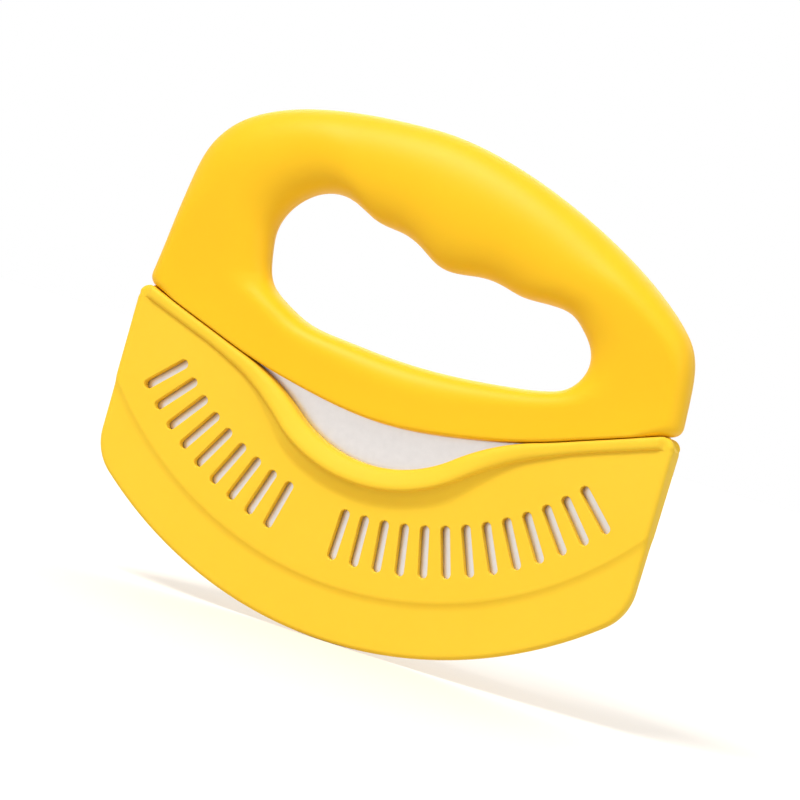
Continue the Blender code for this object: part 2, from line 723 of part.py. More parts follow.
def bead_section(x, stop):
    """The bead's section at x as (how far below the lip, how far out of the face), outer side first."""
    swell = smoothstep((BEAD_SWELL_START - abs(x)) / BEAD_SWELL_SPAN)
    height = BEAD_END_HEIGHT + (BEAD_DIP_HEIGHT - BEAD_END_HEIGHT) * swell
    flare = smoothstep((FLARE_START - abs(x - DIP_X)) / FLARE_SPAN)
    lift = (FLARE_PROUD + BEAD_SINK) * flare
    bow = (BEAD_ROUNDNESS * height / 2 + BEAD_SINK) * smoothstep((stop - abs(x)) / BEAD_STOP)
    rows = []
    for i in range(9):
        turn = math.pi * i / 8
        share = (1 - math.cos(turn)) / 2
        down = BEAD_TOP_SINK + (height - BEAD_TOP_SINK) * share
        rows.append((down, bow * math.sin(turn) + lift * share ** FLARE_BOW - BEAD_SINK))
    spread = FLARE_LEAST + (1 - FLARE_LEAST) * flare
    for share in (0.5, 1.0):
        rows.append((height + spread * CHAMFER_HEIGHT * share, lift * (1 - CHAMFER_FALL * share) - BEAD_SINK))
    for share in (0.5, 1.0):
        down = height + spread * (CHAMFER_HEIGHT + (FLARE_HEIGHT - CHAMFER_HEIGHT) * share)
        rows.append((down, lift * (1 - CHAMFER_FALL) * (1 - share) ** 2 - BEAD_SINK))
    inner = -SHEATH_EDGE_ROUND - BEAD_SINK
    return rows + [(rows[-1][0], inner), (BEAD_TOP_SINK, inner)]


def bead(side):
    """The rounded bead along the lip of one face, widest in the dip and fading out before the corners."""
    stop = HALF_WIDTH - BEAD_STOP
    path = [p for p in lip_line() if abs(p[0]) < stop]
    mesh = bmesh.new()
    rings = []
    for i, point in enumerate(path):
        before = Vector(path[max(i - 1, 0)])
        after = Vector(path[min(i + 1, len(path) - 1)])
        along = (after - before).normalized()
        square = Vector((along.y, -along.x))
        ring = []
        for down, out in bead_section(point[0], stop):
            spot = Vector(point) + square * down
            ring.append(mesh.verts.new((spot.x, side * (sheath_half(spot.y) + out), spot.y)))
        rings.append(ring)
    for ring, after in zip(rings, rings[1:]):
        for k in range(len(ring)):
            j = (k + 1) % len(ring)
            mesh.faces.new((ring[k], ring[j], after[j], after[k]))
    mesh.faces.new(rings[0])
    mesh.faces.new(rings[-1][::-1])
    bmesh.ops.recalc_face_normals(mesh, faces=mesh.faces)
    return mesh


def pocket():
    """The narrow space for the blade, open at the top."""
    half_width = BLADE_HALF_WIDTH + EDGE_CLEARANCE
    half = BLADE_THICKNESS / 2 + POCKET_CLEARANCE
    angle = math.asin(half_width / POCKET_RADIUS)
    outline = arc(RIM_CENTRE_Z, POCKET_RADIUS, -angle, angle, 32)
    outline += [(half_width, HANDLE_TOP), (-half_width, HANDLE_TOP)]
    return prism(outline, -half, half)


def slot_cutters():
    """The drain slots: round-ended, each pointing at the rim's centre, through the front wall alone."""
    mesh = bmesh.new()
    for start, count in SLOT_GROUPS:
        for i in range(count):
            angle = start + i * SLOT_PITCH
            middle = Vector(polar(RIM_CENTRE_Z, SLOT_RADIUS, angle))
            outward = Vector((math.sin(angle), -math.cos(angle)))
            across = Vector((outward.y, -outward.x))
            outline = []
            for sign in (-1, 1):
                end = middle + outward * sign * (SLOT_LENGTH - SLOT_WIDTH) / 2
                for k in range(5):
                    turn = math.pi * k / 4
                    spoke = outward * (sign * math.sin(turn)) + across * (-sign * math.cos(turn))
                    outline.append(tuple(end + spoke * SLOT_WIDTH / 2))
            add_mesh(mesh, prism(outline, -SHEATH_THICK_TOP, 0.0))
    return mesh


def make_sheath(material):
    item = place("sheath", sheath_body(), material)
    shape_with(item, bead(-1), "UNION", "sheath_bead_front")
    shape_with(item, bead(1), "UNION", "sheath_bead_back")
    shape_with(item, pocket(), "DIFFERENCE", "sheath_pocket")
    shape_with(item, slot_cutters(), "DIFFERENCE", "sheath_slots")
    return item


def clear_scene():
    for item in list(bpy.data.objects):
        bpy.data.objects.remove(item, do_unlink=True)


def main():
    clear_scene()
    grip = paint("handle_yellow", (0.93, 0.62, 0.03), 0.45)
    cover = paint("sheath_yellow", (0.91, 0.67, 0.05), 0.55)
    steel = paint("stainless_steel", (0.80, 0.78, 0.75), 0.30, 1.0)
    dowel = paint("pin_steel", (0.62, 0.62, 0.62), 0.35, 1.0)
    make_handle_half("handle_front", -1, grip)
    make_handle_half("handle_back", 1, grip)
    make_blade(steel)
    for number, (x, z) in enumerate(pin_places(), start=1):
        make_pin(f"blade_pin_{number}", x, z, dowel)
    make_sheath(cover)


main()
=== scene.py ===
# %% [markdown]
# # Dressing a rocking dough cutter
#
# The cutter has three things to look at: a thick moulded loop handle, a thin arc-edged blade, and a sheath
# that is pushed over the blade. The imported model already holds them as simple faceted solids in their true
# places. This lesson keeps those places and gives each visible piece a fine surface and a finish.

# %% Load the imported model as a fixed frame
import math

import bmesh
import bpy
import numpy as np
from mathutils import Matrix, Vector


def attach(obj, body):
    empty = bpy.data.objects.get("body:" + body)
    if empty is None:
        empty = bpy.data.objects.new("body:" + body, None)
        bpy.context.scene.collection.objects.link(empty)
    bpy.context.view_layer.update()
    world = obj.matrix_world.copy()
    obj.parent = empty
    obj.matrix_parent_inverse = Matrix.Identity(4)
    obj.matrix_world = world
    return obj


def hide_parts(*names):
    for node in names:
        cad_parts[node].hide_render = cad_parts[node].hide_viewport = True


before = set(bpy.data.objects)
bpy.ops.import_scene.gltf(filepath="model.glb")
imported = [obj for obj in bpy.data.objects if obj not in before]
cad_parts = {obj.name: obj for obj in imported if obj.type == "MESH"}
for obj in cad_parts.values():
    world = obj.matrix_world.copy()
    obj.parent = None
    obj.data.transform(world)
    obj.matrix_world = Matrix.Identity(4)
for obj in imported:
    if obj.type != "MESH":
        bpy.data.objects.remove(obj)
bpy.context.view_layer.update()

# %% [markdown]
# ## Sizes
#
# Blender counts in metres and a product drawing in millimetres. One named factor keeps the drawing's
# numbers readable. The sheath's rim, the blade's edge and the slots are arcs about one centre. The handle's
# foot is an arc of its own with a slight belly in the middle, and runs out into two straight lines. Those
# few radii place nearly everything.

# %% The sizes that several pieces share
MM = 0.001
HALF_WIDTH = 95.0 * MM
RIM_RADIUS = 140.7 * MM
RIM_CENTRE = Vector((0.0, RIM_RADIUS))
FOOT_RADIUS = 180.0 * MM
FOOT_LOW = 73.9 * MM
FOOT_CENTRE = Vector((0.0, FOOT_LOW + FOOT_RADIUS))
FOOT_ARC_ANGLE = math.radians(19.0)
FOOT_BELLY = 1.05 * MM
BELLY_REACH = 36.0 * MM
DIP_X = -1.3 * MM
CROWN_HEIGHT = 169.0 * MM


def smoothstep(value):
    value = min(max(value, 0.0), 1.0)
    return value * value * (3 - 2 * value)


def foot_z(x, below=0.0):
    """Height at x of the line that follows the handle's foot, a given distance below it."""
    radius = FOOT_RADIUS + below
    end_x = radius * math.sin(FOOT_ARC_ANGLE)
    if abs(x) > end_x:
        end_z = FOOT_CENTRE.y - radius * math.cos(FOOT_ARC_ANGLE)
        return end_z + (abs(x) - end_x) * math.tan(FOOT_ARC_ANGLE)
    belly = FOOT_BELLY * (1 - smoothstep(abs(x - DIP_X) / BELLY_REACH))
    return FOOT_CENTRE.y - math.sqrt(radius ** 2 - x * x) - belly


print("the foot rises from %.1f mm in the middle to %.1f mm at its ends" % (
    foot_z(0) / MM, foot_z(HALF_WIDTH) / MM))

# %% [markdown]
# ## A grid that takes any shape
#
# Moulded plastic flows from one form into the next, so its surface is easiest to make as one sheet. Box
# modelling with a subdivision surface would do, but it rounds the crisp lines too. Here a flat grid
# primitive is laid over the form instead: a formula says where each of its rows goes, and doubles are
# merged where the sheet meets itself.

# %% Lay a grid primitive over rows of points
WELD = 1e-6


def laid_grid(rows, closed=False):
    """A bmesh grid with one vertex for each point of the rows."""
    sheet = bmesh.new()
    bmesh.ops.create_grid(sheet, x_segments=len(rows[0]) - 1, y_segments=len(rows) - 1, size=1.0)
    points = [point for row in rows for point in row]
    for vert, point in zip(list(sheet.verts), points):
        vert.co = point
    if closed:
        bmesh.ops.remove_doubles(sheet, verts=sheet.verts, dist=WELD)
    return sheet


def finished(name, sheet, material, sharp=35.0):
    """Turns a bmesh into a smooth-shaded object at the origin."""
    mesh = bpy.data.meshes.new(name)
    sheet.to_mesh(mesh)
    sheet.free()
    mesh.materials.append(material)
    mesh.shade_smooth()
    mesh.set_sharp_from_angle(angle=math.radians(sharp))
    piece = bpy.data.objects.new(name, mesh)
    bpy.context.scene.collection.objects.link(piece)
    print(name, "has", len(mesh.polygons), "faces")
    return piece


# %% [markdown]
# ## Colours and nodes
#
# Colours are written as the sRGB hex values that a paint chart gives. Blender's shaders count in linear
# light, so one function turns them. One more adds a node with its settings and its links, which keeps each
# material short.

# %% Turn a hex colour linear, and add one node
def linear(code):
    """An sRGB hex colour as linear RGBA."""
    parts = [int(code[i:i + 2], 16) / 255 for i in (1, 3, 5)]
    return (*[p / 12.92 if p <= 0.04045 else ((p + 0.055) / 1.055) ** 2.4 for p in parts], 1.0)


def add_node(tree, kind, settings=None, **links):
    """Adds a node, sets its properties and input values, and links sockets given as keyword arguments."""
    node = tree.nodes.new(kind)
    for key, value in (settings or {}).items():
        if hasattr(node, key):
            setattr(node, key, value)
        else:
            node.inputs[key].default_value = value
    for key, socket in links.items():
        tree.links.new(socket, node.inputs[key.replace("_", " ")])
    return node


def new_material(name):
    """An empty material with its Principled shader and an output."""
    material = bpy.data.materials.new(name)
    material.use_nodes = True
    material.node_tree.nodes.clear()
    tree = material.node_tree
    shader = add_node(tree, "ShaderNodeBsdfPrincipled")
    add_node(tree, "ShaderNodeOutputMaterial", Surface=shader.outputs["BSDF"])
    place = add_node(tree, "ShaderNodeTexCoord").outputs["Object"]
    return material, tree, shader, place


# %% [markdown]
# ## The two moulded plastics
#
# A moulded face takes its look from the cavity it was made in. Both plastics get a faint cloud of tone, the
# grain of an etched cavity, and a little light that goes under the skin and comes out warmer, so that the
# shade turns amber and not grey. An image texture could carry the grain, but noise needs no unwrapping and
# holds at any size. A noise's scale is one over the size of its patches. A real grain is often finer than
# the quarter and the third of a millimetre used here, but would then be lost between the pixels.

# %% Describe a moulded plastic once
SKIN_DEPTH = 1.0 * MM
SKIN_SHARE = 0.15


def moulded_plastic(name, tones, cloud_size, grain, relief, roughness, specular):
    """A pigmented plastic: grain is a size and a detail, and relief a strength and a depth."""
    material, tree, shader, place = new_material(name)
    cloud = add_node(tree, "ShaderNodeTexNoise", {"Scale": 1 / cloud_size, "Detail": 2.0}, Vector=place)
    tone = add_node(tree, "ShaderNodeValToRGB", Fac=cloud.outputs["Fac"])
    tone.color_ramp.elements[0].color = linear(tones[0])
    tone.color_ramp.elements[1].color = linear(tones[1])
    fine = add_node(tree, "ShaderNodeTexNoise", {"Scale": 1 / grain[0], "Detail": grain[1]}, Vector=place)
    relief_settings = {"Strength": relief[0], "Distance": relief[1]}
    skin = add_node(tree, "ShaderNodeBump", relief_settings, Height=fine.outputs["Fac"])
    tree.links.new(tone.outputs["Color"], shader.inputs["Base Color"])
    tree.links.new(skin.outputs["Normal"], shader.inputs["Normal"])
    shader.inputs["Roughness"].default_value = roughness
    shader.inputs["Specular IOR Level"].default_value = specular
    shader.inputs["Subsurface Weight"].default_value = SKIN_SHARE
    shader.inputs["Subsurface Radius"].default_value = (1.0, 0.5, 0.1)
    shader.inputs["Subsurface Scale"].default_value = SKIN_DEPTH
    return material


# %% [markdown]
# The handle is taken to be ABS with a soft-touch skin, from its broad satin glow. Its grain is about a
# quarter of a millimetre and its pigment a warm yellow.

# %% Satin yellow soft-touch ABS
handle_plastic = moulded_plastic(
    "satin_soft_touch_abs", ("#F7C112", "#F8C518"), cloud_size=33.33 * MM,
    grain=(0.25 * MM, 2.0), relief=(0.25, 0.04 * MM), roughness=0.48, specular=0.28)
print("made", handle_plastic.name)

# %% [markdown]
# The sheath is taken to be polypropylene. It reads a little more lemon than the handle, and its texture is
# duller and a little coarser, so the faces look almost powdery.

# %% Matte lemon polypropylene
sheath_plastic = moulded_plastic(
    "matte_moulded_polypropylene", ("#F3C831", "#F4CC37"), cloud_size=38.46 * MM,
    grain=(0.3125 * MM, 3.0), relief=(0.3, 0.05 * MM), roughness=0.58, specular=0.20)
print("made", sheath_plastic.name)

# %% [markdown]
# ## Blade and pin steel
#
# The blade is taken to be 1.2 mm stainless sheet, and tumbled, as it has no mirror shine: a pale, slightly
# warm metal with a faint cloudy mottle and a very fine grit. A picture of worn steel could be laid on it,
# but two noises need no unwrapping and keep a size each. Real grit is finer than a pixel, so it is drawn
# coarser, at 0.4 mm. The dowels are hidden, and are given a ground steel a shade darker.

# %% Tumbled stainless sheet and ground steel
SHEET_ROUGHNESS = 0.30
DOWEL_ROUGHNESS = 0.30
MOTTLE_SIZE = 2.381 * MM
GRIT_SIZE = 0.4 * MM
GRIT_DEPTH = 0.03 * MM


def stainless(name, light, dark, roughness):
    material, tree, shader, place = new_material(name)
    mottle = {"Scale": 1 / MOTTLE_SIZE, "Detail": 4.0, "Roughness": 0.6}
    cloud = add_node(tree, "ShaderNodeTexNoise", mottle, Vector=place)
    tone = add_node(tree, "ShaderNodeValToRGB", Fac=cloud.outputs["Fac"])
    tone.color_ramp.elements[0].position = 0.3
    tone.color_ramp.elements[0].color = linear(dark)
    tone.color_ramp.elements[1].position = 0.7
    tone.color_ramp.elements[1].color = linear(light)
    grit = add_node(tree, "ShaderNodeTexNoise", {"Scale": 1 / GRIT_SIZE, "Detail": 3.0}, Vector=place)
    relief = {"Strength": 0.3, "Distance": GRIT_DEPTH}
    worn = add_node(tree, "ShaderNodeBump", relief, Height=grit.outputs["Fac"])
    tree.links.new(tone.outputs["Color"], shader.inputs["Base Color"])
    tree.links.new(worn.outputs["Normal"], shader.inputs["Normal"])
    shader.inputs["Metallic"].default_value = 1.0
    shader.inputs["Roughness"].default_value = roughness
    return material


blade_steel = stainless("tumbled_stainless_sheet", "#DEDBDB", "#D9D6D6", SHEET_ROUGHNESS)
pin_steel = stainless("ground_dowel_steel", "#C9C8C6", "#B4B2B0", DOWEL_ROUGHNESS)
print("made", blade_steel.name, "and", pin_steel.name)

# %% [markdown]
# The last 5 mm of the blade are ground to the edge. Grinding leaves a glossier band with fine marks, a
# shade darker than the tumbled sheet. A second material on the ground faces would do, but the band's line
# would then show the model's facets, so the distance from the arcs' centre says where it begins. The marks
# run up the blade, and are wider than real ones so that they show.

# %% Grind the blade's edge
GROUND_RADIUS = 115.5 * MM
GROUND_LINE = 0.2 * MM
GROUND_ROUGHNESS = 0.20
MARK_WIDTH = 2 / 3 * MM
MARK_LENGTH = 25 * MARK_WIDTH


def grind_edge(material):
    """Gives the band outside the ground radius its own tone and gloss."""
    tree = material.node_tree
    shader = tree.nodes["Principled BSDF"]
    place = tree.nodes["Texture Coordinate"].outputs["Object"]
    flat = {"Location": (0.0, 0.0, -RIM_RADIUS), "Scale": (1.0, 0.0, 1.0)}
    from_centre = add_node(tree, "ShaderNodeMapping", flat, Vector=place)
    spoke = from_centre.outputs["Vector"]
    reach = add_node(tree, "ShaderNodeVectorMath", {"operation": "LENGTH"}, Vector=spoke)
    band = {"From Min": GROUND_RADIUS - GROUND_LINE / 2, "From Max": GROUND_RADIUS + GROUND_LINE / 2}
    on_band = add_node(tree, "ShaderNodeMapRange", band, Value=reach.outputs["Value"]).outputs["Result"]
    drawn_out = {"Scale": (1.0, 1.0, MARK_WIDTH / MARK_LENGTH)}
    along = add_node(tree, "ShaderNodeMapping", drawn_out, Vector=place)
    fine = {"Scale": 1 / MARK_WIDTH, "Detail": 2.0}
    marks = add_node(tree, "ShaderNodeTexNoise", fine, Vector=along.outputs["Vector"])
    ground = add_node(tree, "ShaderNodeValToRGB", Fac=marks.outputs["Fac"])
    ground.color_ramp.elements[0].color = linear("#B9B7B6")
    ground.color_ramp.elements[1].color = linear("#D3D1D0")
    # A colour mix has its two colours at inputs 6 and 7 and its result at output 2
    both = add_node(tree, "ShaderNodeMix", {"data_type": "RGBA"}, Factor=on_band)
    tree.links.new(shader.inputs["Base Color"].links[0].from_socket, both.inputs[6])
    tree.links.new(ground.outputs["Color"], both.inputs[7])
    tree.links.new(both.outputs[2], shader.inputs["Base Color"])
    finer = {"To Min": SHEET_ROUGHNESS, "To Max": GROUND_ROUGHNESS}
    roughness = add_node(tree, "ShaderNodeMapRange", finer, Value=on_band)
    tree.links.new(roughness.outputs["Result"], shader.inputs["Roughness"])


grind_edge(blade_steel)
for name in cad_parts:
    finish = blade_steel if name == "blade" else pin_steel
    if name.startswith("blade"):
        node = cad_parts[name]
        node.data.materials.clear()
        node.data.materials.append(finish)
print("steel on", [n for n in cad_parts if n.startswith("blade")])

# %% [markdown]
# ## The handle's silhouette
#
# Seen from the front the handle is a lopsided loop: a steep left side, a crown left of the middle and a
# long slope down to the right. Many traced points could draw it, but a few Bezier knots keep it smooth. The
# foot below is the line that the sheath's lip follows. The two foot corners are rounded with a small
# fillet.

# %% Draw the outer line of the loop
SHOULDER = (-82.0 * MM, 151.0 * MM)
CROWN_X = -12.0 * MM
SLOPE = (87.0 * MM, 128.0 * MM)
LEFT_END = -93.7 * MM
FOOT_CORNER = 3.6 * MM
FINE = 3


def bezier(start, start_angle, start_pull, end, end_angle, end_pull, count):
    """A cubic between two tangents, without its last point."""
    p0, p3 = np.array(start), np.array(end)
    a, b = math.radians(start_angle), math.radians(end_angle)
    p1 = p0 + start_pull * np.array((math.cos(a), math.sin(a)))
    p2 = p3 - end_pull * np.array((math.cos(b), math.sin(b)))
    t = (np.arange(count) / count)[:, None]
    curve = (1 - t) ** 3 * p0 + 3 * (1 - t) ** 2 * t * p1 + 3 * (1 - t) * t * t * p2 + t ** 3 * p3
    return [tuple(p) for p in curve]


def top_line(fine):
    """The line over the top, from the left foot corner to the right one."""
    left = (LEFT_END, foot_z(LEFT_END))
    crown = (CROWN_X, CROWN_HEIGHT)
    right = (HALF_WIDTH, foot_z(HALF_WIDTH))
    rise = CROWN_HEIGHT - left[1]
    line = bezier(left, 82, 0.55 * rise, SHOULDER, 51, 0.17 * rise, 8 * fine)
    line += bezier(SHOULDER, 51, 0.18 * HALF_WIDTH, crown, 0, 0.33 * HALF_WIDTH, 10 * fine)
    line += bezier(crown, 0, 0.34 * HALF_WIDTH, SLOPE, -46, 0.27 * HALF_WIDTH, 14 * fine)
    line += bezier(SLOPE, -46, 0.13 * rise, right, -86, 0.25 * rise, 6 * fine)
    return line + [right]


def fillet(before, corner, after, radius, count):
    """Points that round a corner between two straight neighbours."""
    c = Vector(corner)
    u = (Vector(before) - c).normalized()
    v = (Vector(after) - c).normalized()
    half = u.angle(v) / 2
    centre = c + (u + v).normalized() * radius / math.sin(half)
    first = c + u * radius / math.tan(half) - centre
    turn = first.angle_signed(c + v * radius / math.tan(half) - centre)
    points = []
    for i in range(count + 1):
        spoke = first.copy()
        spoke.rotate(Matrix.Rotation(-turn * i / count, 2))
        points.append(tuple(centre + spoke))
    return points


def handle_outline():
    """The closed outer line, clockwise."""
    top = top_line(FINE)
    count = 30 * FINE
    places = [HALF_WIDTH + (LEFT_END - HALF_WIDTH) * i / count for i in range(count + 1)]
    foot = [(x, foot_z(x)) for x in places]
    right = fillet(top[-2], top[-1], foot[1], FOOT_CORNER, 3 * FINE)
    left = fillet(foot[-2], foot[-1], top[1], FOOT_CORNER, 3 * FINE)
    foot = [p for p in foot if abs(p[0]) < HALF_WIDTH - 2 * FOOT_CORNER]
    top = [p for p in top[1:-1] if p[1] > right[0][1] + 0.5 * FOOT_CORNER]
    return top + right + foot + left


outer_line = handle_outline()
print("the outer line has", len(outer_line), "points")

# %% [markdown]
# ## The finger hole
#
# The hole's upper edge is the underside of the grip, where four shallow grooves hold the fingers, so it is
# drawn by how deep the grip is below the top line at each groove and ridge. The ends are round and the
# lower edge is a shallow arc. A cubic spline joins them all into one smooth closed line. Each groove and
# ridge is given by its share of the hole's length and the depth of the grip there in millimetres.

# %% Draw the inner line of the loop
HOLE_LEFT = -56.4 * MM
HOLE_RIGHT = 59.8 * MM
HOLE_FLOOR = 93.7 * MM
LEFT_RISE = 28.5 * MM
RIGHT_RISE = 15.5 * MM
FLOOR_RADIUS = 235.0 * MM
FLOOR_LOW_X = 4.0 * MM
GRIP_DEPTHS = (
    (0.10, 28.0), (0.16, 27.4), (0.23, 30.0), (0.29, 33.6), (0.37, 35.2), (0.44, 38.0), (0.505, 41.2),
    (0.57, 40.1), (0.64, 37.2), (0.70, 36.0), (0.755, 35.3), (0.81, 33.0), (0.865, 30.3), (0.915, 28.9),
)


def closed_spline(points, per_span):
    """A smooth closed curve through all the points: a periodic cubic spline on chord lengths."""
    p = np.array(points)
    step = np.linalg.norm(np.roll(p, -1, axis=0) - p, axis=1)
    count = len(p)
    system = np.zeros((count, count))
    right = np.zeros((count, 2))
    for i in range(count):
        before, after = step[i - 1], step[i]
        system[i, i - 1] = after
        system[i, i] = 2 * (before + after)
        system[i, (i + 1) % count] = before
        ahead, behind = p[(i + 1) % count] - p[i], p[i] - p[i - 1]
        right[i] = 3 * (ahead / after * before + behind / before * after)
    slope = np.linalg.solve(system, right)
    curve = []
    for i in range(count):
        j = (i + 1) % count
        for t in np.arange(per_span) / per_span:
            a, b = 2 * t ** 3 - 3 * t * t + 1, t ** 3 - 2 * t * t + t
            c, d = 3 * t * t - 2 * t ** 3, t ** 3 - t * t
            curve.append(tuple(a * p[i] + b * step[i] * slope[i] + c * p[j] + d * step[i] * slope[j]))
    return curve


def hole_outline():
    """The closed inner line, clockwise from the upper left."""
    over = np.array(top_line(4))
    length = HOLE_RIGHT - HOLE_LEFT
    points = []
    for share, depth in GRIP_DEPTHS:
        x = HOLE_LEFT + share * length
        points.append((x, np.interp(x, over[:, 0], over[:, 1]) - depth * MM))
    right_z = HOLE_FLOOR + RIGHT_RISE
    for share, rise in ((0.045, 0.68), (0.011, 0.36), (0.0, 0.0), (0.010, -0.27), (0.037, -0.53)):
        points.append((HOLE_RIGHT - share * length, right_z + rise * RIGHT_RISE))
    for share in (0.90, 0.80, 0.65, 0.45, 0.28, 0.18):
        x = HOLE_LEFT + share * length
        points.append((x, HOLE_FLOOR + FLOOR_RADIUS - math.sqrt(FLOOR_RADIUS ** 2 - (x - FLOOR_LOW_X) ** 2)))
    left_z = HOLE_FLOOR + LEFT_RISE
    lower_left = ((0.095, -0.73), (0.036, -0.55), (0.007, -0.22))
    upper_left = ((0.0, 0.0), (0.008, 0.18), (0.040, 0.40))
    for share, rise in lower_left + upper_left:
        points.append((HOLE_LEFT + share * length, left_z + rise * LEFT_RISE))
    return closed_spline(points, 6 * FINE)


inner_line = hole_outline()
print("the finger hole has", len(inner_line), "points")

# %% [markdown]
# ## Sections round the loop
#
# The handle is a ring, and a section through it changes all the way round: a fat oval at the grip, a
# flatter bar at the foot with a nearly square lower edge. Each station pairs a point of the inner line with
# one of the outer line, and the section between them is two quarter superellipses with a flat between.

# %% Pair the two lines up
def ray_hit(outline, centre, direction):
    """Where a ray from the centre meets a closed outline."""
    d = Vector(direction).normalized()
    across = Vector((-d.y, d.x))
    best = None
    for i, point in enumerate(outline):
        a = Vector(point) - centre
        b = Vector(outline[(i + 1) % len(outline)]) - centre
        side_a, side_b = a.dot(across), b.dot(across)
        if side_a * side_b > 0 or side_a == side_b:
            continue
        hit = a + (b - a) * side_a / (side_a - side_b)
        if hit.dot(d) > 0 and (best is None or hit.length < best.length):
            best = hit
    return centre + best


def stations():
    """Pairs of points, with the inner ones evened out so that the foot's corners don't bunch them."""
    centre = Vector(((HOLE_LEFT + HOLE_RIGHT) / 2, HOLE_FLOOR + RIGHT_RISE))
    hole_half = Vector(((HOLE_RIGHT - HOLE_LEFT) / 2, (LEFT_RISE + RIGHT_RISE) / 2))
    outer_half = Vector((HALF_WIDTH, (CROWN_HEIGHT - FOOT_LOW) / 2))
    count = len(outer_line)
    spokes = [Vector(point) - centre for point in outer_line]
    angles = np.unwrap([math.atan2(s.y / outer_half.y, s.x / outer_half.x) for s in spokes])
    even = angles[0] - 2 * math.pi * np.arange(count) / count
    reach = 5 * FINE
    bend = np.mean([np.roll(angles - even, shift) for shift in range(-reach, reach + 1)], axis=0)
    pairs = []
    for point, angle in zip(outer_line, even + bend):
        aim = (math.cos(angle) * hole_half.x, math.sin(angle) * hole_half.y)
        pairs.append((ray_hit(inner_line, centre, aim), Vector(point)))
    return pairs


pairs = stations()
print("the loop has", len(pairs), "stations")

# %% [markdown]
# The thickness is 13.8 mm at the foot and swells to 24 mm at the grip. Near the hole the edge is rounded
# over 10 mm and more, which gives the palm and fingers nothing sharp, while the foot keeps a tight 2.2 mm
# edge where it meets the sheath.

# %% Work out one section
GRIP_HALF = 12.0 * MM
FOOT_HALF = 6.9 * MM
THICKENING = 62.0 * MM
PARTING = 0.12 * MM
PARTING_INSIDE = 0.01 * MM
BLADE_SLOT_HALF = 0.95 * MM
BLADE_SLOT_END = 90.4 * MM
FOOT_ROUND, SIDE_ROUND, HOLE_ROUND, LEAST_ROUND = 2.2 * MM, 6.0 * MM, 10.0 * MM, 0.8 * MM
SIDE_ROUND_START, SIDE_ROUND_SPAN = 0.5 * MM, 3.0 * MM
GRIP_ROUND_START, GRIP_ROUND_SPAN = 40.0 * MM, 40.0 * MM
HOLE_ROUND_SPAN = 30.0 * MM
SQUARE_POWER, ROUND_POWER = 4.0, 2.2
FOOT_BAND = 0.2 * MM


def half_thickness(x, z):
    return FOOT_HALF + (GRIP_HALF - FOOT_HALF) * smoothstep((z - foot_z(x)) / THICKENING)


def section(inner, outer, wall=0.0, counts=(14, 6, 12)):
    """Points (x, y, z) from the hole to the outer line, with y the half thickness there."""
    length = (outer - inner).length
    along = (outer - inner) / length
    grip = smoothstep((outer.y - FOOT_LOW - GRIP_ROUND_START) / GRIP_ROUND_SPAN)
    side = smoothstep((outer.y - foot_z(outer.x) - SIDE_ROUND_START) / SIDE_ROUND_SPAN)
    side = max(side, smoothstep((abs(outer.x) - HALF_WIDTH + 4 * FOOT_CORNER) / (3 * FOOT_CORNER)))
    outer_round = FOOT_ROUND + (SIDE_ROUND - FOOT_ROUND) * side
    outer_round += (0.5 * length - outer_round) * grip
    rise = smoothstep((inner.y - HOLE_FLOOR) / HOLE_ROUND_SPAN)
    hole_round = HOLE_ROUND + (0.5 * length - HOLE_ROUND) * rise
    hole_round = max(hole_round - wall, LEAST_ROUND)
    outer_round = max(outer_round - wall, LEAST_ROUND)
    outer_power = SQUARE_POWER - (SQUARE_POWER - ROUND_POWER) * side
    first, flat, last = counts
    steps = []
    for i in range(first):
        turn = math.pi / 2 * i / first
        bend = 2 / ROUND_POWER
        steps.append((wall + hole_round * (1 - math.cos(turn) ** bend), math.sin(turn) ** bend))
    start, end = wall + hole_round, length - wall - outer_round
    for i in range(flat + 1):
        steps.append((start + (end - start) * i / flat, 1.0))
    for i in range(1, last + 1):
        turn = math.pi / 2 * (1 - i / last)
        reach = outer_round * (1 - max(math.cos(turn), 0.0) ** (2 / outer_power))
        steps.append((length - wall - reach, math.sin(turn) ** (2 / outer_power)))
    on_foot = outer.y < foot_z(outer.x) + FOOT_BAND and abs(outer.x) < BLADE_SLOT_END
    parting = PARTING_INSIDE if wall else PARTING
    rows = []
    for number, (s, share) in enumerate(steps):
        place = inner + along * s
        least = BLADE_SLOT_HALF if on_foot and number > first + flat else parting
        half = (half_thickness(place.x, place.y) - wall) * share
        rows.append((place.x, max(half, least), place.y))
    return rows


middle = section(*pairs[0])
thickest = 2 * max(point[1] for point in middle)
print("a section has", len(middle), "points and is up to %.1f mm thick" % (thickest / MM))

# %% [markdown]
# ## The handle's two half shells
#
# The handle is taken to be moulded as a front and a back half that meet in a fine seam round the loop's
# edge, with the blade's tang between them at the foot. A Solidify modifier could give each half its wall.
# Here each is one ring of sections instead, outside over the face and back along the inside of a 2.4 mm
# wall, so that the seam can be a quarter of a millimetre wide at the skin and nearly close at the inside.
# It reads as a dark line and lets no daylight through.

# %% Make the half shells
SHELL_WALL = 2.4 * MM


def half_shell(name, side, node):
    """side is -1 for the front half and 1 for the back half."""
    rows = []
    for inner, outer in pairs:
        outside = section(inner, outer)
        inside = section(inner, outer, SHELL_WALL, (5, 2, 4))
        ring = outside + inside[::-1] + outside[:1]
        rows.append([(x, side * y, z) for x, y, z in ring])
    sheet = laid_grid(rows + rows[:1], closed=True)
    bmesh.ops.recalc_face_normals(sheet, faces=sheet.faces)
    piece = finished(name, sheet, handle_plastic, sharp=50)
    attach(piece, "cutter")
    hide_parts(node)


half_shell("front_half_shell", -1, "handle_front")
half_shell("back_half_shell", 1, "handle_back")

